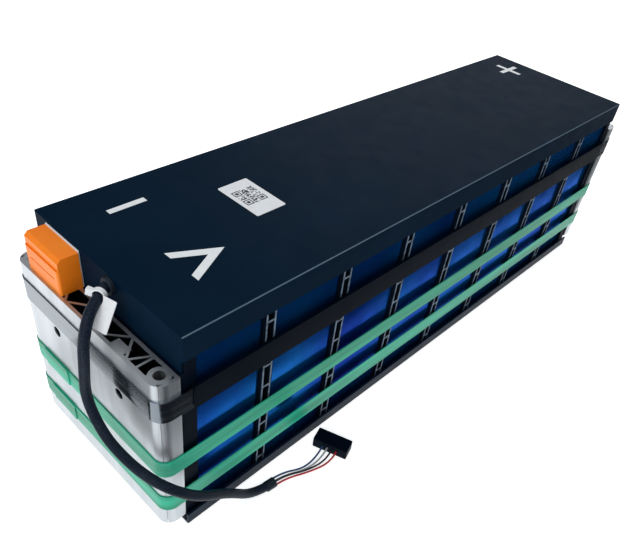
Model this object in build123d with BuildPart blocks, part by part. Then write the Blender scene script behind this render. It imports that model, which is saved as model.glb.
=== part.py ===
"""Prismatic-cell battery module: eight cells in a row, clamped between two
extruded end plates by a steel band and two plastic straps.

X runs along the row of cells, Y across it, Z up.  The origin is the centre of
the underside.  The negative terminal and the harness are at the -X end.
"""
from build123d import *
from math import cos, pi, radians, sin, tan
import os

# ---- driving dimensions, millimetres -------------------------------------
cell_count = 8
cell_pitch = 82.5
cell_thickness = 73.0
cell_width = 170.0
cell_bottom = 2.5
cell_top = 188.0
cell_corner = 4.0

terminal_y = 52.0            # cell terminals, either side of the centre line
terminal_size = (24.0, 34.0, 4.0)
output_y = 49.5              # output terminals over the end plates

spacer_width = cell_width + 6.0
spacer_bottom = cell_bottom
spacer_top = cell_top - 1.0
ladder_step = 23.1           # rungs of the open spacer edges
ladder_first = 15.5
ladder_depth = 9.0
ladder_wall = 1.4
rung_height = 1.8

insulator_wall = 4.0
insulator_wing = 14.0        # how far the side wings reach over the end cell
insulator_top = cell_top - 13.0

plate_depth = 18.75
plate_width = cell_width + 10.0
plate_bottom = 14.0
plate_top = insulator_top
plate_corner = 10.0
plate_skin = 2.8
plate_web = 1.9
bolt_y = plate_width / 2 - 10.5   # vertical bolt bosses of the end plates
bolt_hole = 8.8
boss_radius = 8.0
lift_hole_y = 41.5           # threaded holes in the outer faces
lift_hole_z = plate_top - 43.5
lift_hole = 9.0
lift_hole_depth = 7.0
lift_pad = 9.5              # solid metal behind each threaded hole

cover_overhang = 1.75        # past the end cells
cover_width = plate_width - 0.8
cover_top = cell_top + 21.0
cover_skin = 1.6
skirt_bottom = spacer_top

band_bottom = plate_top - 35.5
band_height = 20.0
band_skin = 1.0
strap_height = 17.0
strap_skin = 0.9
upper_strap_z = 77.0
lower_strap_z = 33.5

tray_width = plate_width + 4.0
tray_floor = cell_bottom
rail_height = 12.5
rail_skin = 2.0

cable_diameter = 8.0
wire_diameter = 1.8

# ---- derived ---------------------------------------------------------------
stack_half = (cell_count - 1) / 2 * cell_pitch + cell_thickness / 2
plate_inner = stack_half + insulator_wall
plate_outer = plate_inner + plate_depth
spacer_thickness = cell_pitch - cell_thickness
cover_half = stack_half + cover_overhang
cover_length = 2 * cover_half
cell_centres = [(i - (cell_count - 1) / 2) * cell_pitch for i in range(cell_count)]
gap_centres = [(a + b) / 2 for a, b in zip(cell_centres, cell_centres[1:])]
terminal_top = cell_top + terminal_size[2]

os.makedirs("parts", exist_ok=True)


def save(builder, name):
    """Label a finished piece and write it as its own STEP file."""
    builder.part.label = name
    export_step(builder.part, f"parts/{name}.step")


def end_outline(offset_by=0.0):
    """Plan outline that passes round both end plates, grown by offset_by."""
    length = 2 * (plate_outer + offset_by)
    width = plate_width + 2 * offset_by
    RectangleRounded(length, width, plate_corner + offset_by)


def loop_band(inner, skin):
    """Closed flat band outline round both end plates, on the current sketch."""
    end_outline(inner + skin)
    length = 2 * (plate_outer + inner)
    width = plate_width + 2 * inner
    RectangleRounded(length, width, plate_corner + inner, mode=Mode.SUBTRACT)


# ---- cells -----------------------------------------------------------------
def make_cell(x):
    """One film-wrapped prismatic can with its two terminal pads' recesses."""
    with BuildPart() as cell:
        with BuildSketch(Plane.XY.offset(cell_bottom)):
            with Locations((x, 0)):
                RectangleRounded(cell_thickness, cell_width, cell_corner)
        extrude(amount=cell_top - cell_bottom)
        fillet(cell.faces().sort_by(Axis.Z)[0].edges(), radius=1.2)
        fillet(cell.faces().sort_by(Axis.Z)[-1].edges(), radius=0.8)
    return cell


for number, x in enumerate(cell_centres, start=1):
    save(make_cell(x), f"cell_{number}")

with BuildPart() as cell_terminals:
    with BuildSketch(Plane.XY.offset(cell_top)):
        with Locations([(x, s * terminal_y) for x in cell_centres for s in (1, -1)]):
            RectangleRounded(terminal_size[0], terminal_size[1], 3)
    extrude(amount=terminal_size[2])
save(cell_terminals, "cell_terminals")

vent_length, vent_width, vent_height = 34.0, 20.0, 1.0
with BuildPart() as cell_vents:
    with BuildSketch(Plane.XY.offset(cell_top)):
        with Locations([(x, 0) for x in cell_centres]):
            SlotOverall(vent_length, vent_width, rotation=90)
            SlotOverall(vent_length - 6, vent_width - 6, rotation=90, mode=Mode.SUBTRACT)
    extrude(amount=vent_height)
    with BuildSketch(Plane.XY.offset(cell_top)):
        with Locations([(x, 0) for x in cell_centres]):
            SlotOverall(vent_length - 5, vent_width - 5, rotation=90)
    extrude(amount=vent_height / 3)
save(cell_vents, "cell_vents")

# ---- spacers with open ladder edges ------------------------------------------
rung_centres = [ladder_first + i * ladder_step for i in range(8)]
pocket_edges = [spacer_bottom - 1] + rung_centres + [spacer_top + 1]


def make_spacer(x):
    """Plate between two cells whose long edges are open like a ladder."""
    with BuildPart() as spacer:
        with BuildSketch(Plane.XY.offset(spacer_bottom)):
            with Locations((x, 0)):
                Rectangle(spacer_thickness, spacer_width)
        extrude(amount=spacer_top - spacer_bottom)
        for low, high in zip(pocket_edges, pocket_edges[1:]):
            gap = high - low - rung_height
            for side in (1, -1):
                at = (x, side * (spacer_width / 2 - ladder_depth / 2), (low + high) / 2)
                with Locations(at):
                    Box(spacer_thickness - 2 * ladder_wall, ladder_depth + 0.02, gap,
                        mode=Mode.SUBTRACT)
    return spacer


for number, x in enumerate(gap_centres, start=1):
    save(make_spacer(x), f"spacer_{number}")


# ---- end insulators --------------------------------------------------------
wing_inner = cell_width / 2 + 0.2
wing_outer = spacer_width / 2


def make_insulator(side):
    """Plastic sheet between end cell and end plate, folded round the cell."""
    with BuildPart() as insulator:
        with BuildSketch(Plane.XY.offset(spacer_bottom)):
            with Locations((side * (stack_half + insulator_wall / 2), 0)):
                Rectangle(insulator_wall, spacer_width)
            wing_x = side * (plate_inner - insulator_wing / 2)
            wing_y = (wing_inner + wing_outer) / 2
            with Locations((wing_x, wing_y), (wing_x, -wing_y)):
                Rectangle(insulator_wing, wing_outer - wing_inner)
        extrude(amount=insulator_top - spacer_bottom)
        with BuildSketch(Plane.XY.offset(insulator_top)):
            with Locations((wing_x, wing_y), (wing_x, -wing_y)):
                Rectangle(insulator_wing, wing_outer - wing_inner)
            with Locations((side * (stack_half + insulator_wall / 2), 0)):
                Rectangle(insulator_wall, spacer_width, mode=Mode.SUBTRACT)
        extrude(amount=skirt_bottom - insulator_top + 4)
    return insulator


save(make_insulator(-1), "insulator_minus_end")
save(make_insulator(1), "insulator_plus_end")


# ---- extruded end plates -----------------------------------------------------
web_outer_y = (21.5, 54.0)   # where the zigzag ribs meet the outer skin
web_inner_y = (0.0, 39.0, 62.5)   # and the inner skin


def make_end_plate(side):
    """Aluminium extrusion, open from top to bottom, with bolt bosses."""
    inner = side * plate_inner
    outer = side * plate_outer
    middle = (inner + outer) / 2
    in_skin = inner + side * plate_skin / 2
    out_skin = outer - side * plate_skin / 2
    boss_x = outer - side * (boss_radius + 1.6)
    with BuildPart() as plate:
        with BuildSketch(Plane.XY.offset(plate_bottom)):
            with Locations((middle, 0)):
                Rectangle(plate_depth, plate_width)
        extrude(amount=plate_top - plate_bottom)
        outer_edges = plate.edges().filter_by(Axis.Z).group_by(Axis.X)[-1 if side > 0 else 0]
        fillet(outer_edges, radius=plate_corner)
        inner_edges = plate.edges().filter_by(Axis.Z).group_by(Axis.X)[0 if side > 0 else -1]
        fillet(inner_edges, radius=1.0)
        with BuildSketch(Plane.XY.offset(plate_bottom)):
            pocket_depth = plate_depth - 2 * plate_skin
            with Locations((middle, 0)):
                Rectangle(pocket_depth, plate_width - 2 * plate_skin)
            for s in (1, -1):
                nodes = [(in_skin, s * web_inner_y[0]), (out_skin, s * web_outer_y[0]),
                         (in_skin, s * web_inner_y[1]), (out_skin, s * web_outer_y[1]),
                         (in_skin, s * web_inner_y[2])]
                with BuildLine():
                    Polyline(*nodes)
                trace(line_width=plate_web, mode=Mode.SUBTRACT)
                with Locations((middle, s * (bolt_y - boss_radius - 7.5))):
                    Rectangle(plate_depth, plate_web, mode=Mode.SUBTRACT)
                with Locations((boss_x, s * bolt_y)):
                    Circle(boss_radius, mode=Mode.SUBTRACT)
                    Rectangle(2 * boss_radius, 2 * boss_radius - 5, mode=Mode.SUBTRACT)
                with Locations((out_skin, s * lift_hole_y)):
                    Rectangle(2 * (lift_pad - plate_skin / 2), 15, mode=Mode.SUBTRACT)
        extrude(amount=plate_top - plate_bottom, mode=Mode.SUBTRACT)
        with Locations((boss_x, bolt_y, plate_top), (boss_x, -bolt_y, plate_top)):
            Hole(radius=bolt_hole / 2, depth=plate_top)
        with BuildSketch(Plane.YZ.offset(outer)):
            with Locations((lift_hole_y, lift_hole_z), (-lift_hole_y, lift_hole_z)):
                Circle(lift_hole / 2)
        extrude(amount=-side * lift_hole_depth, mode=Mode.SUBTRACT)
    return plate


save(make_end_plate(-1), "end_plate_minus")
save(make_end_plate(1), "end_plate_plus")

# ---- steel band, its sleeves and the two straps ---------------------------------
with BuildPart() as steel_band:
    with BuildSketch(Plane.XY.offset(band_bottom)):
        loop_band(0.0, band_skin)
    extrude(amount=band_height)
save(steel_band, "steel_band")

sleeve_length = 2 * (plate_inner - 9.0)
sleeve_wall = 0.8
sleeve_over = 0.9            # how far the sleeve stands above and below the band


def make_sleeve(side):
    """Flat insulating tube slipped over one long run of the band."""
    outer_height = band_height + 2 * sleeve_over
    with BuildPart() as sleeve:
        with Locations((0, side * (plate_width / 2 + band_skin / 2), band_bottom + band_height / 2)):
            Box(sleeve_length, band_skin + 2 * sleeve_wall, outer_height)
            ends = sleeve.edges().filter_by(Axis.Y)
            fillet(ends, radius=4.0)
            Box(sleeve_length + 2, band_skin, band_height, mode=Mode.SUBTRACT)
    return sleeve


save(make_sleeve(-1), "band_sleeve_front")
save(make_sleeve(1), "band_sleeve_back")

lap_length, lap_y = 34.0, 52.0   # welded overlap of each strap on the -X face


def make_strap(bottom):
    """Green plastic strap: a closed loop with a welded overlap."""
    with BuildPart() as strap:
        with BuildSketch(Plane.XY.offset(bottom)):
            loop_band(0.0, strap_skin)
            with Locations((-(plate_outer + strap_skin * 1.4), lap_y)):
                Rectangle(strap_skin, lap_length)
        extrude(amount=strap_height)
    return strap


save(make_strap(upper_strap_z), "upper_strap")
save(make_strap(lower_strap_z), "lower_strap")

# ---- bottom tray -----------------------------------------------------------------
window_size = (60.0, 150.0)
with BuildPart() as bottom_tray:
    with BuildSketch():
        Rectangle(2 * plate_inner, tray_width)
    extrude(amount=rail_height)
    with BuildSketch(Plane.XY.offset(tray_floor)):
        Rectangle(2 * plate_inner + 2, tray_width - 2 * rail_skin)
    extrude(amount=rail_height, mode=Mode.SUBTRACT)
    with BuildSketch():
        with Locations([(x, 0) for x in cell_centres]):
            RectangleRounded(window_size[0], window_size[1], 8)
    extrude(amount=tray_floor, mode=Mode.SUBTRACT)
    foot_edges = bottom_tray.faces().sort_by(Axis.Z)[0].outer_wire().edges().filter_by(Axis.X)
    fillet(foot_edges, radius=1.5)
save(bottom_tray, "bottom_tray")

# ---- wiring tray over the cells -----------------------------------------------------
wiring_floor = 2.0
wiring_wall = 1.6
with BuildPart() as wiring_tray:
    with BuildSketch(Plane.XY.offset(cell_top)):
        Rectangle(2 * stack_half - 2, cell_width)
    extrude(amount=8.0)
    with BuildSketch(Plane.XY.offset(cell_top + wiring_floor)):
        Rectangle(2 * stack_half - 2 - 2 * wiring_wall, cell_width - 2 * wiring_wall)
    extrude(amount=8.0, mode=Mode.SUBTRACT)
    with BuildSketch(Plane.XY.offset(cell_top)):
        with Locations([(x, s * terminal_y) for x in cell_centres for s in (1, -1)]):
            Rectangle(terminal_size[0] + 2, terminal_size[1] + 2)
        with Locations([(x, 0) for x in cell_centres]):
            SlotOverall(vent_length + 3, vent_width + 3, rotation=90)
    extrude(amount=wiring_floor, mode=Mode.SUBTRACT)
    gate_height = 8.0 - wiring_floor
    for side in (1, -1):
        gate_x = side * (stack_half - 1 - wiring_wall / 2)
        with Locations((gate_x, output_y + 1.5, cell_top + wiring_floor + gate_height / 2)):
            Box(wiring_wall + 1, 32, gate_height, mode=Mode.SUBTRACT)
    with Locations((-(stack_half - 1 - wiring_wall / 2), 0, cell_top + wiring_floor + gate_height / 2)):
        Box(wiring_wall + 1, 24, gate_height, mode=Mode.SUBTRACT)
save(wiring_tray, "wiring_tray")

# ---- busbars ------------------------------------------------------------------------
busbar_thickness = 2.0
busbar_width = 28.0
hump_height = 4.0
hump_half = 9.0


def make_busbar(x, y):
    """Bar from one cell's terminal to the next, humped over the gap."""
    reach = cell_pitch / 2 + 11.0
    base = terminal_top
    with BuildPart() as busbar:
        with BuildSketch(Plane.XZ.offset(-y - busbar_width / 2)):
            with BuildLine():
                Polyline((x - reach, base), (x - hump_half - 4, base),
                         (x - hump_half + 2, base + hump_height),
                         (x + hump_half - 2, base + hump_height),
                         (x + hump_half + 4, base), (x + reach, base),
                         (x + reach, base + busbar_thickness),
                         (x + hump_half + 3, base + busbar_thickness),
                         (x + hump_half - 3, base + hump_height + busbar_thickness),
                         (x - hump_half + 3, base + hump_height + busbar_thickness),
                         (x - hump_half - 3, base + busbar_thickness),
                         (x - reach, base + busbar_thickness), close=True)
            make_face()
        extrude(amount=busbar_width)
    return busbar


for number, x in enumerate(gap_centres, start=1):
    row = -1 if number % 2 else 1
    save(make_busbar(x, row * terminal_y), f"busbar_{number}")

# ---- output terminals over the end plates ------------------------------------------------
cap_width = 45.0
cap_front = plate_outer - 2.0
cap_back = cover_half + 0.3
cap_tops = {-1: cover_top - 3.0, 1: cover_top - 7.0}   # the positive lid is lower
cap_split = cover_top - 12.5
lid_setback = 1.2
stud_x = (cap_front + cap_back) / 2
stud_radius = 3.0
output_bottom = terminal_top
base_back_top = cover_top - 1.8        # back wall of the base, seen just above the cap


def make_output_busbar(side):
    """Flat bar from the end cell's terminal out over the end plate."""
    inner_x = side * (cell_centres[-1] - 11)
    outer_x = side * (cap_front - 2.2)
    with BuildPart() as busbar:
        with BuildSketch(Plane.XY.offset(output_bottom)):
            with BuildLine():
                Polyline((inner_x, terminal_y - 14), (side * (stack_half - 14), terminal_y - 14),
                         (side * (stack_half - 4), output_y - 12), (outer_x, output_y - 12),
                         (outer_x, output_y + 12), (side * (stack_half - 4), output_y + 12),
                         (side * (stack_half - 14), terminal_y + 14), (inner_x, terminal_y + 14),
                         close=True)
            make_face()
            with Locations((side * stud_x, output_y)):
                Circle(stud_radius + 0.3, mode=Mode.SUBTRACT)
        extrude(amount=busbar_thickness)
    return busbar


def make_terminal_base(side):
    """White insulating block on the end plate with a low back wall."""
    with BuildPart() as base:
        depth = cap_front - 2.0 - cap_back
        with BuildSketch(Plane.XY.offset(plate_top)):
            with Locations((side * (cap_back + depth / 2), output_y)):
                Rectangle(depth, cap_width - 5)
        extrude(amount=output_bottom - plate_top)
        with BuildSketch(Plane.XY.offset(plate_top)):
            with Locations((side * (cap_back + 0.5), output_y)):
                Rectangle(1.0, cap_width - 1)
        extrude(amount=base_back_top - plate_top)
        with Locations((side * (cap_back + 0.5), output_y, output_bottom + 1.5)):
            Box(2, 25, 3.2, mode=Mode.SUBTRACT)
        with Locations((side * stud_x, output_y, output_bottom)):
            Hole(radius=stud_radius, depth=output_bottom - plate_top)
    return base


def make_terminal_cap(side):
    """Orange push-on cap: a hollow box, open to the bar at the back."""
    with BuildPart() as cap:
        inner = side * (cap_back + 1.0)
        outer = side * cap_front
        centre_x = (inner + outer) / 2
        depth = abs(outer - inner)
        with BuildSketch(Plane.XY.offset(plate_top)):
            with Locations((centre_x, output_y)):
                Rectangle(depth, cap_width)
        extrude(amount=cap_split - plate_top)
        front = cap.edges().filter_by(Axis.Z).group_by(Axis.X)[-1 if side > 0 else 0]
        fillet(front, radius=2.0)
        with Locations((centre_x - side * 1.6, output_y, (plate_top + cap_split) / 2)):
            Box(depth - 0.4, cap_width - 3.6, cap_split - plate_top + 2, mode=Mode.SUBTRACT)
        with Locations((outer, output_y, cap_split - 9.0)):
            Box(1.2, cap_width - 12, 1.2, mode=Mode.SUBTRACT)
    return cap


def make_cap_lid(side):
    """Lid of the cap, with a rounded front edge and a plug into the cap."""
    with BuildPart() as lid:
        inner = side * (cap_back + 1.0)
        outer = side * (cap_front - lid_setback)
        centre_x = (inner + outer) / 2
        depth = abs(outer - inner)
        with BuildSketch(Plane.XY.offset(cap_split)):
            with Locations((centre_x, output_y)):
                Rectangle(depth, cap_width)
        extrude(amount=cap_tops[side] - cap_split)
        rim = lid.faces().sort_by(Axis.Z)[-1].edges().sort_by(Axis.X)
        front_rim = rim[-1] if side > 0 else rim[0]
        chamfer(front_rim, length=3.0)
    return lid


for side, end in ((-1, "minus"), (1, "plus")):
    save(make_output_busbar(side), f"output_busbar_{end}")
    save(make_terminal_base(side), f"terminal_base_{end}")
    save(make_terminal_cap(side), f"terminal_cap_{end}")
    save(make_cap_lid(side), f"terminal_cap_lid_{end}")

with BuildPart() as terminal_bolts:
    for side in (-1, 1):
        at = (side * stud_x, output_y)
        with BuildSketch(Plane.XY.offset(plate_top)):
            with Locations(at):
                Circle(stud_radius)
        extrude(amount=output_bottom + busbar_thickness - plate_top)
        with BuildSketch(Plane.XY.offset(output_bottom + busbar_thickness)):
            with Locations(at):
                RegularPolygon(4.6, 6)
        extrude(amount=2.2)
save(terminal_bolts, "terminal_bolts")

# ---- sensing flex circuit and temperature sensors -----------------------------------------
flex_width = 16.0
flex_bottom = cell_top + wiring_floor
flex_thickness = 0.3
flex_start = -(stack_half - 16)
with BuildPart() as sensing_flex:
    with BuildSketch(Plane.XY.offset(flex_bottom)):
        with Locations(((flex_start + gap_centres[-1]) / 2, -25)):
            Rectangle(gap_centres[-1] - flex_start, flex_width)
        for number, x in enumerate(gap_centres, start=1):
            if number % 2:
                with Locations((x, (-25 - terminal_y + busbar_width / 2 + 1) / 2 - 4)):
                    Rectangle(4, 14)
    extrude(amount=flex_thickness)
save(sensing_flex, "sensing_flex")

sensor_size = (9.0, 6.0, 2.4)
with BuildPart() as temperature_sensors:
    with Locations([(x, -25, flex_bottom + flex_thickness + sensor_size[2] / 2)
                    for x in (gap_centres[0], gap_centres[3], gap_centres[6] - 6)]):
        Box(*sensor_size)
    fillet(temperature_sensors.edges().filter_by(Axis.Z), radius=1.5)
save(temperature_sensors, "temperature_sensors")

# ---- top cover --------------------------------------------------------------------------------
exit_y, exit_z = -9.5, cover_top - 9.0
grommet_radius = 7.0
with BuildPart() as top_cover:
    with BuildSketch(Plane.XY.offset(insulator_top)):
        Rectangle(cover_length, cover_width)
    extrude(amount=cover_top - insulator_top)
    fillet(top_cover.edges().filter_by(Axis.Z), radius=1.2)
    fillet(top_cover.faces().sort_by(Axis.Z)[-1].edges(), radius=0.8)
    with BuildSketch(Plane.XY.offset(insulator_top)):
        Rectangle(cover_length - 2 * cover_skin, cover_width - 2 * cover_skin)
    extrude(amount=cover_top - cover_skin - insulator_top, mode=Mode.SUBTRACT)
    skirt_cut = skirt_bottom - insulator_top
    with BuildSketch(Plane.XY.offset(insulator_top)):
        with Locations((0, cover_width / 2), (0, -cover_width / 2)):
            Rectangle(2 * (plate_inner - insulator_wing) + 2 * insulator_wing + 10, 6)
    extrude(amount=skirt_cut, mode=Mode.SUBTRACT)
    for side in (-1, 1):
        notch_top = output_bottom + 5.0
        with Locations((side * cover_half, output_y, (insulator_top + notch_top) / 2 - 0.5)):
            Box(4, 30, notch_top - insulator_top + 1, mode=Mode.SUBTRACT)
    with Locations(Plane((-cover_half, exit_y, exit_z), z_dir=(-1, 0, 0))):
        Hole(radius=grommet_radius - 1.2, depth=3)
save(top_cover, "top_cover")

# ---- printed marks and code label -----------------------------------------------------------------
mark_height = 0.2
stroke = 5.5
with BuildPart() as cover_symbols:
    with BuildSketch(Plane.XY.offset(cover_top)):
        with Locations((-270, 55)):
            Rectangle(33, stroke)
        with Locations((291, 50)):
            Rectangle(34, stroke)
            Rectangle(stroke, 34)
        with BuildLine():
            Polyline((-284, -12), (-245, -31.5), (-284, -51), (-284, -43.5), (-260, -31.5),
                     (-284, -19.5), close=True)
        make_face()
    extrude(amount=mark_height)
save(cover_symbols, "cover_symbols")

label_centre = (-182.5, 9.5)
with BuildPart() as code_label:
    with BuildSketch(Plane.XY.offset(cover_top)):
        with Locations(label_centre):
            RectangleRounded(31, 50, 1.5)
    extrude(amount=mark_height)
save(code_label, "code_label")

# ---- harness: grommet, sleeve, tie, flag, wires, connector -------------------------------------------
grommet_out = 3.5
grommet_face = -(cover_half + grommet_out)
with BuildPart() as harness_grommet:
    with BuildSketch(Plane.YZ.offset(grommet_face)):
        with Locations((exit_y, exit_z)):
            Circle(grommet_radius)
    extrude(amount=grommet_out)
    with BuildSketch(Plane.YZ.offset(-cover_half)):
        with Locations((exit_y, exit_z)):
            Circle(grommet_radius - 1.2)
    extrude(amount=cover_skin + 1)
    fillet(harness_grommet.faces().sort_by(Axis.X)[0].edges(), radius=1.2)
save(harness_grommet, "harness_grommet")

cable_points = [
    (-328, exit_y + 1.5, exit_z),
    (-347, -20, 201), (-361, -28.5, 184), (-362, -25, 156), (-362, -18, 118),
    (-362, -36, 93), (-362, -62, 90), (-360, -88, 92), (-350, -104, 83),
    (-331, -109, 61), (-302, -108, 36), (-273, -109, 4.1), (-251, -111, 4.1),
]


def turn_radii(points):
    """Largest arc that each corner's two runs allow."""
    radii = []
    for before, here, after in zip(points, points[1:], points[2:]):
        run_in = Vector(*here) - Vector(*before)
        run_out = Vector(*after) - Vector(*here)
        half_turn = radians(run_in.get_angle(run_out)) / 2
        shorter = min(run_in.length, run_out.length)
        radii.append(0.45 * shorter / tan(half_turn))
    return radii


def make_tube(name, points, diameter, starts_in_grommet=False):
    """Round tube along straight runs joined by tangent arcs."""
    radii = turn_radii(points)
    with BuildPart() as tube:
        with BuildLine():
            centre_line = FilletPolyline(*points, radius=radii)
        with BuildSketch(Plane(centre_line @ 0, z_dir=centre_line % 0)):
            Circle(diameter / 2)
        sweep()
        if starts_in_grommet:
            with Locations((grommet_face + 10, exit_y, exit_z)):
                Box(20, 30, 30, mode=Mode.SUBTRACT)
    expected = pi * diameter ** 2 / 4 * centre_line.length
    print(f"{name}: radii {[round(r, 1) for r in radii]} length {centre_line.length:.1f} "
          f"volume ratio {tube.part.volume / expected:.4f}")
    save(tube, name)


make_tube("harness_sleeve", cable_points, cable_diameter, starts_in_grommet=True)

# tie round the sleeve just past the grommet
tie_run_start, tie_run_end = Vector(*cable_points[0]), Vector(*cable_points[1])
tie_plane = Plane(tie_run_start + (tie_run_end - tie_run_start) * 0.55,
                  x_dir=(-0.5, 0.8, 0.2), z_dir=tie_run_end - tie_run_start)
tie_width = 3.6
tie_outer = cable_diameter / 2 + 1.3
with BuildPart() as cable_tie:
    with BuildSketch(tie_plane.offset(-tie_width / 2)):
        Circle(tie_outer)
        with Locations((tie_outer + 1.2, 0)):
            Rectangle(5, 5.2)
        Circle(cable_diameter / 2 + 0.15, mode=Mode.SUBTRACT)
    extrude(amount=tie_width)
save(cable_tie, "cable_tie")

flag_length, flag_width, flag_skin = 24.0, 13.0, 0.6
flag_plane = Plane((-337, -24.6, 202), x_dir=(-0.5, -0.1, -0.86), z_dir=(-0.82, -0.26, 0.51))
with BuildPart() as wire_flag:
    with BuildSketch(flag_plane):
        with Locations((flag_length / 2 - 1, 0)):
            RectangleRounded(flag_length, flag_width, 1)
    extrude(amount=flag_skin)
    add(cable_tie.part, mode=Mode.SUBTRACT)
    with BuildSketch(tie_plane.offset(-15)):
        Circle(cable_diameter / 2 + 1.0)
    extrude(amount=30, mode=Mode.SUBTRACT)
save(wire_flag, "wire_flag")

cable_end = Vector(*cable_points[-1])
end_run = cable_end - Vector(*cable_points[-2])
end_plane = Plane(cable_end, x_dir=(-end_run.Y, end_run.X, 0), z_dir=end_run)
tape_length = 9.0
with BuildPart() as sleeve_end_tape:
    with BuildSketch(end_plane.offset(-tape_length)):
        Circle(cable_diameter / 2 + 0.7)
        Circle(cable_diameter / 2, mode=Mode.SUBTRACT)
    extrude(amount=tape_length)
    with BuildSketch(Plane.XY.offset(-5)):
        with Locations((cable_end.X, cable_end.Y)):
            Rectangle(60, 60)
    extrude(amount=5, mode=Mode.SUBTRACT)
save(sleeve_end_tape, "sleeve_end_tape")

connector_centre = (-182.0, -117.0)
connector_depth, connector_width, connector_height = 15.0, 34.0, 10.5
connector_angle = 20.0
connector_plane = Plane((connector_centre[0], connector_centre[1], 0),
                        x_dir=(cos(radians(connector_angle)), sin(radians(connector_angle)), 0),
                        z_dir=(0, 0, 1))
wire_count = 4
wire_step = 4.6
wire_height = 5.0
with BuildPart() as connector:
    with BuildSketch(connector_plane):
        Rectangle(connector_depth, connector_width)
    extrude(amount=connector_height)
    fillet(connector.edges().filter_by(Axis.Z), radius=0.8)
    front = connector_plane.location * Location((connector_depth / 2, 0, connector_height / 2))
    with Locations(front):
        Box(9, connector_width - 4, connector_height - 3.4, mode=Mode.SUBTRACT)
    latch = connector_plane.location * Location((1, 0, connector_height + 0.8))
    with Locations(latch):
        Box(10, 9, 1.6)
save(connector, "connector")


def wire_points(index):
    """Route of one thin wire from the sleeve end to the connector's back."""
    across = (index - (wire_count - 1) / 2)
    height = 1.1 if index % 2 else -1.1
    start = end_plane.from_local_coords((across * 1.9, height, 0))
    second = end_plane.from_local_coords((across * 1.9, height, 11))
    entry_x = -connector_depth / 2
    near = connector_plane.from_local_coords((entry_x - 13, -across * -wire_step, wire_height))
    last = connector_plane.from_local_coords((entry_x, -across * -wire_step, wire_height))
    third = second * 0.5 + near * 0.5 + Vector(0, -3.0 - across * 1.2, -1.2)
    return [tuple(p) for p in (start, second, third, near, last)]


for index in range(wire_count):
    make_tube(f"wire_{index + 1}", wire_points(index), wire_diameter)
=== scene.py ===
"""Looks of the battery module: materials, cords, small detail, light and camera."""
import random
import bpy
import bmesh
from mathutils import Matrix, Vector


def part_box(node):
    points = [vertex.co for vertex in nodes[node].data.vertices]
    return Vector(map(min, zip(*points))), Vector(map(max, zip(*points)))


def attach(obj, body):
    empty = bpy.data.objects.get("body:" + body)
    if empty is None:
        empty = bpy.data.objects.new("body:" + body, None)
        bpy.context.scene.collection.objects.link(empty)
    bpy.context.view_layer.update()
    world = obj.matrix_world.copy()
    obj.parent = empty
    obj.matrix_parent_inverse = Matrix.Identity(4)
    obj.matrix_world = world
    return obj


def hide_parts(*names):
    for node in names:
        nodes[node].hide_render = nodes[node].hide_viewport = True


MM = 0.001
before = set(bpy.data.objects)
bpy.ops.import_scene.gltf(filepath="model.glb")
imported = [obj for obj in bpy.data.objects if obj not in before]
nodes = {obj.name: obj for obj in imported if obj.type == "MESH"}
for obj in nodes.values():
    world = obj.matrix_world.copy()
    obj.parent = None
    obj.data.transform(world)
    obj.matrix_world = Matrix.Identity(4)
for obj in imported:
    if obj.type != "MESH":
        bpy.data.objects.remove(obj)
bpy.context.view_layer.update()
scene = bpy.context.scene


# ---- material helpers -------------------------------------------------------
def new_material(name, base, roughness, metallic=0.0, specular=0.5):
    """Principled material with its plain values set on the shader's own sockets."""
    material = bpy.data.materials.new(name)
    material.use_nodes = True
    shader = material.node_tree.nodes["Principled BSDF"]
    shader.inputs["Base Color"].default_value = (*base, 1)
    shader.inputs["Roughness"].default_value = roughness
    shader.inputs["Metallic"].default_value = metallic
    shader.inputs["Specular IOR Level"].default_value = specular
    return material, material.node_tree, shader


def add_node(tree, kind, **settings):
    """Node with settings given by attribute name or, for sockets, by socket name."""
    node = tree.nodes.new(kind)
    for key, value in settings.items():
        if hasattr(node, key):
            setattr(node, key, value)
        else:
            node.inputs[key.replace("_", " ")].default_value = value
    return node


def object_coordinates(tree, scale=(1, 1, 1)):
    """Coordinates of the shared frame, stretched by scale."""
    coordinates = add_node(tree, "ShaderNodeTexCoord")
    mapping = add_node(tree, "ShaderNodeMapping")
    mapping.inputs["Scale"].default_value = scale
    tree.links.new(coordinates.outputs["Object"], mapping.inputs["Vector"])
    return mapping.outputs["Vector"]


def noise(tree, scale, detail=3.0, stretch=(1, 1, 1)):
    """Noise value in the shared frame."""
    texture = add_node(tree, "ShaderNodeTexNoise", Scale=scale, Detail=detail)
    tree.links.new(object_coordinates(tree, stretch), texture.inputs["Vector"])
    return texture.outputs["Fac"]


def ramp(tree, value, low, high, start=0.35, end=0.65):
    """Colour or grey from low to high as value goes from start to end."""
    node = add_node(tree, "ShaderNodeValToRGB")
    elements = node.color_ramp.elements
    elements[0].position, elements[1].position = start, end
    elements[0].color = low if len(low) == 4 else (*low, 1)
    elements[1].color = high if len(high) == 4 else (*high, 1)
    tree.links.new(value, node.inputs["Fac"])
    return node.outputs["Color"]


def grey(level):
    return (level, level, level)


def add_bump(tree, shader, value, strength, distance, previous=None):
    """Bump from a grey value; several can follow one another."""
    bump = add_node(tree, "ShaderNodeBump", Strength=strength, Distance=distance)
    tree.links.new(value, bump.inputs["Height"])
    if previous is not None:
        tree.links.new(previous, bump.inputs["Normal"])
    tree.links.new(bump.outputs["Normal"], shader.inputs["Normal"])
    return bump.outputs["Normal"]


def add_edge_wear(tree, shader, base, wear_and_highlight, amount=0.25):
    """Slightly lighter patches where handling has polished the surface."""
    patches = ramp(tree, noise(tree, 14, 4), base, tuple(
        b + (w - b) * amount for b, w in zip(base, wear_and_highlight)), 0.42, 0.75)
    tree.links.new(patches, shader.inputs["Base Color"])


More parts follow.
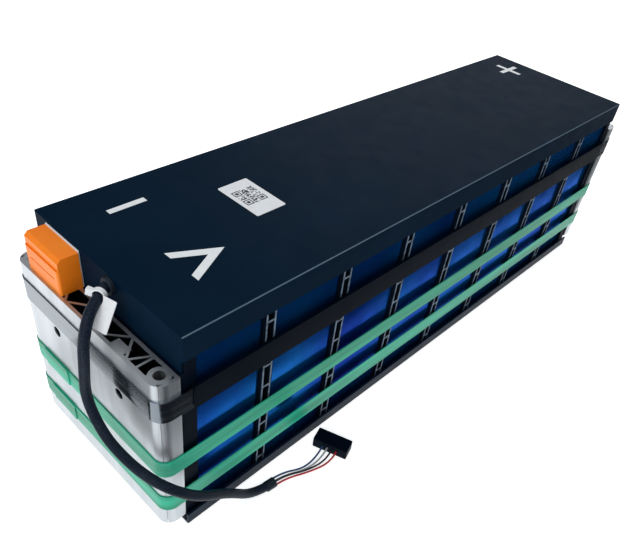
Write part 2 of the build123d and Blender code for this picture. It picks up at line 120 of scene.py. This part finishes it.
def position_mask(tree, tests):
    """1 where every test holds, each on an axis's distance from the frame's middle.

    A test is (axis, operation, limit). It gives an outer skin or a core of the object.
    """
    place = add_node(tree, "ShaderNodeSeparateXYZ")
    tree.links.new(object_coordinates(tree), place.inputs["Vector"])
    mask = None
    for axis, operation, limit in tests:
        distance = add_node(tree, "ShaderNodeMath", operation="ABSOLUTE")
        tree.links.new(place.outputs[axis], distance.inputs[0])
        test = add_node(tree, "ShaderNodeMath", operation=operation)
        tree.links.new(distance.outputs["Value"], test.inputs[0])
        test.inputs[1].default_value = limit
        if mask is None:
            mask = test.outputs["Value"]
        else:
            both = add_node(tree, "ShaderNodeMath", operation="MULTIPLY")
            tree.links.new(mask, both.inputs[0])
            tree.links.new(test.outputs["Value"], both.inputs[1])
            mask = both.outputs["Value"]
    return mask


def mixed(tree, mask, first, second):
    """The colour socket of a mix; each side is a colour or a socket."""
    mix = add_node(tree, "ShaderNodeMix", data_type="RGBA")
    tree.links.new(mask, mix.inputs[0])
    for socket, value in ((mix.inputs[6], first), (mix.inputs[7], second)):
        if isinstance(value, tuple):
            socket.default_value = (*value, 1)
        else:
            tree.links.new(value, socket)
    return mix.outputs[2]


# ---- materials ----------------------------------------------------------------
def make_blue_film():
    base = (0.02, 0.13, 0.50)
    material, tree, shader = new_material("blue_film", base, 0.16, 0.85, 0.3)
    tint = ramp(tree, noise(tree, 9, 3, (1, 1, 0.35)),
                (0.001, 0.048, 0.27), (0.005, 0.145, 0.42))
    tree.links.new(tint, shader.inputs["Base Color"])
    shader.inputs["Specular Tint"].default_value = (0.06, 0.38, 0.85, 1)
    gloss = ramp(tree, noise(tree, 30, 4), grey(0.13), grey(0.24))
    tree.links.new(gloss, shader.inputs["Roughness"])
    wrinkles = add_bump(tree, shader, noise(tree, 22, 3, (1, 1, 0.3)), 0.16, 0.0012)
    add_bump(tree, shader, noise(tree, 420, 2), 0.05, 0.0002, wrinkles)
    return material


def make_moulded(name, base, roughness, grain=2200, strength=0.25, specular=0.45):
    """Moulded plastic with a fine eroded grain and a little colour drift."""
    material, tree, shader = new_material(name, base, roughness, 0.0, specular)
    add_edge_wear(tree, shader, base, tuple(min(1, c * 1.8 + 0.002) for c in base))
    spread = ramp(tree, noise(tree, 60, 4), grey(roughness - 0.03), grey(roughness + 0.03))
    tree.links.new(spread, shader.inputs["Roughness"])
    fine = add_bump(tree, shader, noise(tree, grain, 2), strength, 0.0001)
    add_bump(tree, shader, noise(tree, 26, 2), 0.02, 0.001, fine)
    shader.inputs["Specular Tint"].default_value = (0.45, 0.78, 1.0, 1)
    return material


def make_cover_plastic():
    """Coarsely grained plastic with a painted highlight: a pale line along the two long top
    edges.
    """
    material = make_moulded("cover_plastic", (0.0012, 0.0105, 0.026), 0.52, 1100, 0.4, 0.025)
    tree = material.node_tree
    colour = tree.nodes["Principled BSDF"].inputs["Base Color"]
    highlight_width = 0.7 * MM
    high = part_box("top_cover")[1]
    # mask of the narrow strips along the top edges that carry the painted highlight
    edge = position_mask(tree, [("Y", "GREATER_THAN", high[1] - highlight_width),
                                ("Z", "GREATER_THAN", high[2] - highlight_width)])
    skin = colour.links[0].from_socket
    # painted highlight: a pale colour on the edge strips stands in for light catching the edges
    tree.links.new(mixed(tree, edge, skin, (0.10, 0.15, 0.20)), colour)
    return material


def make_spacer_plastic():
    """Black plastic whose outer ladder edges carry a painted highlight, a pale grey broken up by
    noise.
    """
    base = (0.002, 0.006, 0.013)
    # pale grey of the painted highlight on the outer ladder edges
    wear_and_highlight = (0.16, 0.22, 0.29)
    material, tree, shader = new_material("spacer_plastic", base, 0.42, 0.0, 0.25)
    edge_depth = 0.4 * MM
    spacer_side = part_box("spacer_1")[1][1]
    outside = position_mask(tree, [("Y", "GREATER_THAN", spacer_side - edge_depth)])
    # painted highlight: pale grey on the outer ladder face, broken up by noise
    edge_highlight = add_node(tree, "ShaderNodeMath", operation="MULTIPLY")
    tree.links.new(outside, edge_highlight.inputs[0])
    tree.links.new(noise(tree, 180, 3), edge_highlight.inputs[1])
    tree.links.new(ramp(tree, edge_highlight.outputs["Value"], base, wear_and_highlight, 0.2, 0.6),
                   shader.inputs["Base Color"])
    add_bump(tree, shader, noise(tree, 2000, 2), 0.2, 0.0001)
    return material


def make_extruded_aluminium():
    """Extruded metal with upright die lines, bright outside, with painted shade darkening its
    pockets.
    """
    base = (0.80, 0.82, 0.84)
    material, tree, shader = new_material("extruded_aluminium", base, 0.34, 1.0)
    lines = noise(tree, 900, 3, (1, 1, 0.012))
    streaks = noise(tree, 60, 3, (1, 1, 0.03))
    low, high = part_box("end_plate_minus")
    face_depth = 1.0 * MM      # bright metal behind the outer face
    corner_reach = 15 * MM     # the rounded corners and their bolt bosses stay bright
    cut_depth = 0.4 * MM       # bright metal at the sawn top and bottom
    # painted shade: this mask picks the pockets' inner walls, which get a dark colour
    pocket_shade_mask = position_mask(tree, [
        ("X", "LESS_THAN", -low[0] - face_depth), ("Y", "LESS_THAN", high[1] - corner_reach),
        ("Z", "LESS_THAN", high[2] - cut_depth), ("Z", "GREATER_THAN", cut_depth)])
    bright = ramp(tree, streaks, (0.52, 0.56, 0.59), (0.62, 0.65, 0.68))
    # dark colour of the painted shade inside the pockets
    painted_pocket_shade = (0.045, 0.06, 0.075)
    tree.links.new(mixed(tree, pocket_shade_mask, bright, painted_pocket_shade), shader.inputs["Base Color"])
    tree.links.new(ramp(tree, lines, grey(0.32), grey(0.46)), shader.inputs["Roughness"])
    add_bump(tree, shader, lines, 0.04, 0.0001)
    return material


def make_steel():
    base = (0.20, 0.23, 0.26)
    material, tree, shader = new_material("polished_steel", base, 0.14, 1.0)
    lines = noise(tree, 700, 2, (0.02, 0.02, 1))
    tree.links.new(ramp(tree, lines, grey(0.10), grey(0.22)), shader.inputs["Roughness"])
    add_bump(tree, shader, lines, 0.05, 0.0001)
    return material


def make_busbar_aluminium():
    base = (0.83, 0.84, 0.85)
    material, tree, shader = new_material("busbar_aluminium", base, 0.3, 1.0)
    tree.links.new(ramp(tree, noise(tree, 45, 4), grey(0.22), grey(0.4)),
                   shader.inputs["Roughness"])
    add_bump(tree, shader, noise(tree, 800, 2), 0.08, 0.0001)
    return material


def make_green_strap():
    """Embossed polyester strap: small raised diamonds and long light streaks."""
    base = (0.045, 0.46, 0.27)
    material, tree, shader = new_material("green_strap", base, 0.34, 0.0, 0.22)
    streaks = noise(tree, 120, 3, (0.05, 0.05, 1))
    tree.links.new(ramp(tree, streaks, (0.001, 0.22, 0.115), (0.012, 0.47, 0.29), 0.3, 0.72),
                   shader.inputs["Base Color"])
    diamonds = add_node(tree, "ShaderNodeMath", operation="MULTIPLY")
    for socket, lean in enumerate((1, -1)):
        wave = add_node(tree, "ShaderNodeTexWave", Scale=260.0, wave_type="BANDS",
                        bands_direction="DIAGONAL")
        tree.links.new(object_coordinates(tree, (1, 1, lean)), wave.inputs["Vector"])
        tree.links.new(wave.outputs["Fac"], diamonds.inputs[socket])
    emboss = add_bump(tree, shader, diamonds.outputs["Value"], 0.35, 0.0002)
    add_bump(tree, shader, streaks, 0.1, 0.0003, emboss)
    return material


def make_orange():
    base = (0.95, 0.215, 0.008)
    material, tree, shader = new_material("orange_plastic", base, 0.38, 0.0, 0.25)
    shader.inputs["Subsurface Weight"].default_value = 0.12
    shader.inputs["Subsurface Scale"].default_value = 0.004
    add_edge_wear(tree, shader, base, (1.0, 0.34, 0.03), 0.5)
    add_bump(tree, shader, noise(tree, 1500, 2), 0.12, 0.0001)
    return material


def make_paper(name, base):
    material, tree, shader = new_material(name, base, 0.55, 0.0, 0.4)
    tree.links.new(ramp(tree, noise(tree, 260, 4), tuple(c * 0.95 for c in base), base),
                   shader.inputs["Base Color"])
    add_bump(tree, shader, noise(tree, 900, 3), 0.08, 0.0001)
    return material


def make_braid():
    """Tight woven sleeve of the harness."""
    base = (0.004, 0.009, 0.020)
    material, tree, shader = new_material("cable_sleeve", base, 0.46, 0.0, 0.12)
    weave = add_node(tree, "ShaderNodeTexVoronoi", Scale=900.0)
    tree.links.new(object_coordinates(tree), weave.inputs["Vector"])
    tree.links.new(ramp(tree, weave.outputs["Distance"], (0.002, 0.005, 0.012),
                        (0.010, 0.020, 0.038), 0.2, 0.8), shader.inputs["Base Color"])
    add_bump(tree, shader, weave.outputs["Distance"], 0.5, 0.0003)
    return material


def make_wire(name, base):
    material, tree, shader = new_material(name, base, 0.35, 0.0, 0.5)
    add_bump(tree, shader, noise(tree, 600, 2), 0.08, 0.0001)
    add_edge_wear(tree, shader, base, tuple(min(1, c * 1.4 + 0.02) for c in base))
    return material


film = make_blue_film()
black = make_moulded("black_plastic", (0.0005, 0.003, 0.009), 0.5, specular=0.04)
spacer_black = make_spacer_plastic()
cover_black = make_cover_plastic()
tray_black = make_moulded("tray_plastic", (0.004, 0.010, 0.024), 0.45, specular=0.1)
sleeve_black = make_moulded("sleeve_plastic", (0.0004, 0.0026, 0.008), 0.4, 900, 0.12, 0.04)
rubber = make_moulded("black_rubber", (0.008, 0.009, 0.012), 0.6)
aluminium = make_extruded_aluminium()
steel = make_steel()
bar_metal = make_busbar_aluminium()
green = make_green_strap()
orange = make_orange()
white_plastic = make_moulded("white_plastic", (0.80, 0.83, 0.86), 0.4)
ink = make_paper("white_ink", (0.86, 0.90, 0.92))
label_paper = make_paper("label_paper", (0.84, 0.87, 0.90))
print_black = make_paper("print_black", (0.03, 0.035, 0.05))
braid = make_braid()
wire_colours = [
    make_wire("wire_red", (0.45, 0.02, 0.02)), make_wire("wire_black", (0.015, 0.015, 0.02)),
    make_wire("wire_grey", (0.42, 0.44, 0.46)), make_wire("wire_blue", (0.03, 0.07, 0.2)),
]

# the first start that fits a node's name gives its material
materials_by_start = [
    ("cell_terminals", bar_metal), ("cell_vents", bar_metal), ("cell_", film),
    ("spacer_", spacer_black), ("insulator_", black), ("busbar_", bar_metal),
    ("output_busbar", bar_metal), ("end_plate", aluminium), ("band_sleeve", sleeve_black),
    ("terminal_cap", orange), ("terminal_base", white_plastic), ("terminal_bolts", steel),
    ("top_cover", cover_black), ("cover_symbols", ink), ("code_label", label_paper),
    ("steel_band", steel), ("upper_strap", green), ("lower_strap", green),
    ("bottom_tray", tray_black), ("wiring_tray", black), ("sensing_flex", sleeve_black),
    ("temperature_sensors", black), ("harness_grommet", rubber), ("harness_sleeve", braid),
    ("cable_tie", white_plastic), ("wire_flag", label_paper), ("sleeve_end_tape", rubber),
    ("wire_", wire_colours[1]), ("connector", black),
]


def material_for(name):
    return next(m for start, m in materials_by_start if name.startswith(start))


def dress(obj, material):
    obj.data.materials.clear()
    obj.data.materials.append(material)


def soften(obj, width, segments=2):
    """Rounded edges on a hard piece, as its mould or die leaves them."""
    bevel = obj.modifiers.new("soft_edges", "BEVEL")
    bevel.width = width
    bevel.segments = segments
    bevel.limit_method = "ANGLE"
    bevel.angle_limit = 0.7
    bevel.harden_normals = False
    bevel.use_clamp_overlap = True


for name, obj in nodes.items():
    dress(obj, material_for(name))

# edge radii in millimetres
edge_widths = {"top_cover": 0.6, "bottom_tray": 0.4, "connector": 0.5, "end_plate_minus": 0.35,
               "end_plate_plus": 0.35, "terminal_cap_minus": 0.5, "terminal_cap_plus": 0.5,
               "terminal_cap_lid_minus": 0.5, "terminal_cap_lid_plus": 0.5}
for name, width in edge_widths.items():
    soften(nodes[name], width * MM)

# ---- harness, in millimetres -------------------------------------------------
cable_diameter = 8.0
wire_diameter = 1.8
cable_route = [
    (-328, -8, 200), (-347, -20, 201), (-361, -28.5, 184), (-362, -25, 156),
    (-362, -18, 118), (-362, -36, 93), (-362, -62, 90), (-360, -88, 92),
    (-350, -104, 83), (-331, -109, 61), (-302, -108, 36), (-273, -109, 4.1),
    (-251, -111, 4.1),
]


def make_cord(name, points, diameter, material):
    """Smooth round cord along its route's points, given in millimetres."""
    curve = bpy.data.curves.new(name, "CURVE")
    curve.dimensions = "3D"
    curve.bevel_depth = diameter / 2 * MM
    curve.bevel_resolution = 6
    curve.resolution_u = 10
    curve.use_fill_caps = True
    spline = curve.splines.new("NURBS")
    spline.points.add(len(points) - 1)
    for point, place in zip(spline.points, points):
        point.co = (*(Vector(place) * MM), 1)
    spline.order_u = 3
    spline.use_endpoint_u = True
    curve.materials.append(material)
    obj = bpy.data.objects.new(name, curve)
    scene.collection.objects.link(obj)
    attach(obj, "root")
    return obj


def line_points(curve_object):
    """Points along a cord's own centreline."""
    plain = curve_object.copy()
    plain.data = curve_object.data.copy()
    plain.data.bevel_depth = 0
    scene.collection.objects.link(plain)
    bpy.context.view_layer.update()
    evaluated = plain.evaluated_get(bpy.context.evaluated_depsgraph_get())
    mesh = bpy.data.meshes.new_from_object(evaluated)
    points = [v.co.copy() for v in mesh.vertices]
    bpy.data.meshes.remove(mesh)
    bpy.data.objects.remove(plain)
    return points


cable = make_cord("harness_cord", cable_route, cable_diameter, braid)
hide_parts("harness_sleeve")

end = Vector(cable_route[-1])
end_heading = (end - Vector(cable_route[-2])).normalized()
end_side = Vector((-end_heading.y, end_heading.x, 0)).normalized()
end_up = end_heading.cross(end_side)
connector_centre = Vector((-182, -117, 0))
connector_heading = Vector((0.93969, 0.34202, 0))
connector_side = Vector((-0.34202, 0.93969, 0))
connector_depth = 15.0
wire_count = 4
wire_step = 4.6                # between wires at the connector
wire_height = 5.0              # of their entry over the floor
bundle_step = 1.9              # between wires in the sleeve's end
bundle_rise = 1.1              # odd wires above the middle, even ones below
straight_out = 11              # run that keeps the sleeve's heading
straight_in = 13               # run that keeps the connector's heading


def wire_route(index):
    """Route of one thin wire from the sleeve end to the connector's back."""
    across = index - (wire_count - 1) / 2
    height = bundle_rise if index % 2 else -bundle_rise
    start = end + end_side * across * bundle_step + end_up * height
    second = start + end_heading * straight_out
    entry = connector_centre + connector_side * across * wire_step + Vector((0, 0, wire_height))
    near = entry - connector_heading * (connector_depth / 2 + straight_in)
    last = entry - connector_heading * (connector_depth / 2)
    third = (second + near) / 2 + Vector((0, -3.0 - across * 1.2, -1.2))
    return [start, second, third, near, last]


wires = []
for index in range(wire_count):
    wire = make_cord(f"harness_wire_{index + 1}", wire_route(index), wire_diameter,
                     wire_colours[index])
    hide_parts(f"wire_{index + 1}")
    wires.append(wire)

bpy.context.view_layer.update()
cable_line = line_points(cable)
for wire in wires:
    wire_line = line_points(wire)


# ---- made-up block pattern on the label ------------------------------------------
def make_label_print():
    """Random blocks and bars that encode nothing, printed on the code label."""
    low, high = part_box("code_label")
    top = high[2] + 0.03 * MM
    cell = 1.05 * MM
    count = 21                 # cells along each side
    mark = 7                   # cells along a corner mark
    top_margin = 12.0 * MM
    centre_x = (low[0] + high[0]) / 2 - 0.4 * MM
    start_x = centre_x - count * cell / 2
    start_y = high[1] - top_margin - count * cell
    filled_share = 0.48
    chooser = random.Random(11)
    mesh = bmesh.new()

    def quad(x0, y0, x1, y1):
        corners = [(x0, y0), (x1, y0), (x1, y1), (x0, y1)]
        mesh.faces.new([mesh.verts.new((x, y, top)) for x, y in corners])

    def in_corner(i, j):
        near, far = mark + 1, count - mark - 2
        return (i < near and j < near) or (i > far and j < near) or (i < near and j > far)

    for i in range(count):
        for j in range(count):
            if not in_corner(i, j) and chooser.random() < filled_share:
                quad(start_x + i * cell, start_y + j * cell,
                     start_x + (i + 1) * cell, start_y + (j + 1) * cell)
    for i, j in ((0, 0), (count - mark, 0), (0, count - mark)):
        x, y = start_x + i * cell, start_y + j * cell
        for x0, y0, x1, y1 in ((0, 0, mark, 1), (0, mark - 1, mark, mark),
                               (0, 1, 1, mark - 1), (mark - 1, 1, mark, mark - 1),
                               (2, 2, mark - 2, mark - 2)):
            quad(x + x0 * cell, y + y0 * cell, x + x1 * cell, y + y1 * cell)
    data = bpy.data.meshes.new("label_print")
    mesh.to_mesh(data)
    mesh.free()
    data.materials.append(print_black)
    obj = bpy.data.objects.new("label_print", data)
    scene.collection.objects.link(obj)
    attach(obj, "root")
    return obj


make_label_print()


# ---- stage: floor, light, camera ---------------------------------------------------
def make_plane(name, size_x, size_y, centre, material):
    data = bpy.data.meshes.new(name)
    hx, hy = size_x / 2, size_y / 2
    data.from_pydata([(-hx, -hy, 0), (hx, -hy, 0), (hx, hy, 0), (-hx, hy, 0)], [], [(0, 1, 2, 3)])
    data.materials.append(material)
    obj = bpy.data.objects.new(name, data)
    obj.location = centre
    scene.collection.objects.link(obj)
    return obj


floor_material, _, floor_shader = new_material("floor", (0.93, 0.94, 0.95), 0.8, 0.0, 0.2)
floor_shader.inputs["Emission Color"].default_value = (1, 1, 1, 1)
floor_shader.inputs["Emission Strength"].default_value = 0.67
floor_size = 60.0
make_plane("floor", floor_size, floor_size, (0, 0, -0.4 * MM), floor_material)

# cards that only the gloss of the metal and the film sees
card_material, _, _ = new_material("dark_card", (0.01, 0.015, 0.025), 0.9)
cards = [make_plane("dark_card_side", 1.6, 0.9, (0.15, -0.61, 0.001), card_material),
         make_plane("dark_card_end", 0.14, 0.16, (-0.482, 0.075, 0.001), card_material)]
for card in cards:
    card.visible_camera = False
    card.visible_diffuse = False
    card.visible_shadow = False
    card.visible_transmission = False

# soft surroundings for the light, plain white where the camera sees them
world = bpy.data.worlds.new("studio")
scene.world = world
world.use_nodes = True
world_nodes, world_links = world.node_tree.nodes, world.node_tree.links
background = world_nodes["Background"]
background.inputs["Color"].default_value = (0.95, 0.97, 1.0, 1)
background.inputs["Strength"].default_value = 0.34
seen = world_nodes.new("ShaderNodeBackground")
seen.inputs["Color"].default_value = (1, 1, 1, 1)
light_path = world_nodes.new("ShaderNodeLightPath")
world_mix = world_nodes.new("ShaderNodeMixShader")
world_links.new(light_path.outputs["Is Camera Ray"], world_mix.inputs["Fac"])
world_links.new(background.outputs["Background"], world_mix.inputs[1])
world_links.new(seen.outputs["Background"], world_mix.inputs[2])
world_links.new(world_mix.outputs["Shader"], world_nodes["World Output"].inputs["Surface"])


def area_light(name, place, aim, size, energy):
    """Soft rectangular light at place that looks at aim."""
    data = bpy.data.lights.new(name, "AREA")
    data.shape = "RECTANGLE"
    data.size, data.size_y = size
    data.energy = energy
    obj = bpy.data.objects.new(name, data)
    obj.location = place
    obj.rotation_euler = (Vector(aim) - Vector(place)).to_track_quat("-Z", "Y").to_euler()
    scene.collection.objects.link(obj)


area_light("key", (-1.5, -0.5, 1.1), (-0.2, 0, 0.1), (1.4, 1.0), 11)
area_light("top", (0.0, 0.1, 2.0), (0, 0, 0.1), (2.2, 1.4), 9)
area_light("far_sheen", (1.5, 0.9, 1.1), (0.2, 0, 0.2), (1.4, 0.8), 7)

camera_data = bpy.data.cameras.new("camera")
camera_data.sensor_width = 36.0
camera_data.lens = 36.53
camera_data.shift_x = -0.0141
camera_data.shift_y = 0.0608
camera_data.clip_start = 0.01
camera = bpy.data.objects.new("camera", camera_data)
camera_right = Vector((0.6832, -0.7202, 0.1210)).normalized()
camera_back = Vector((-0.5990, -0.4578, 0.6570)).normalized()
camera_up = camera_back.cross(camera_right).normalized()
camera_right = camera_up.cross(camera_back)
camera_axes = Matrix((camera_right, camera_up, camera_back)).transposed().to_4x4()
camera.matrix_world = Matrix.Translation((-0.4997, -0.3319, 0.4935)) @ camera_axes
scene.collection.objects.link(camera)
scene.camera = camera
scene.view_settings.view_transform = "Standard"
scene.view_settings.look = "None"
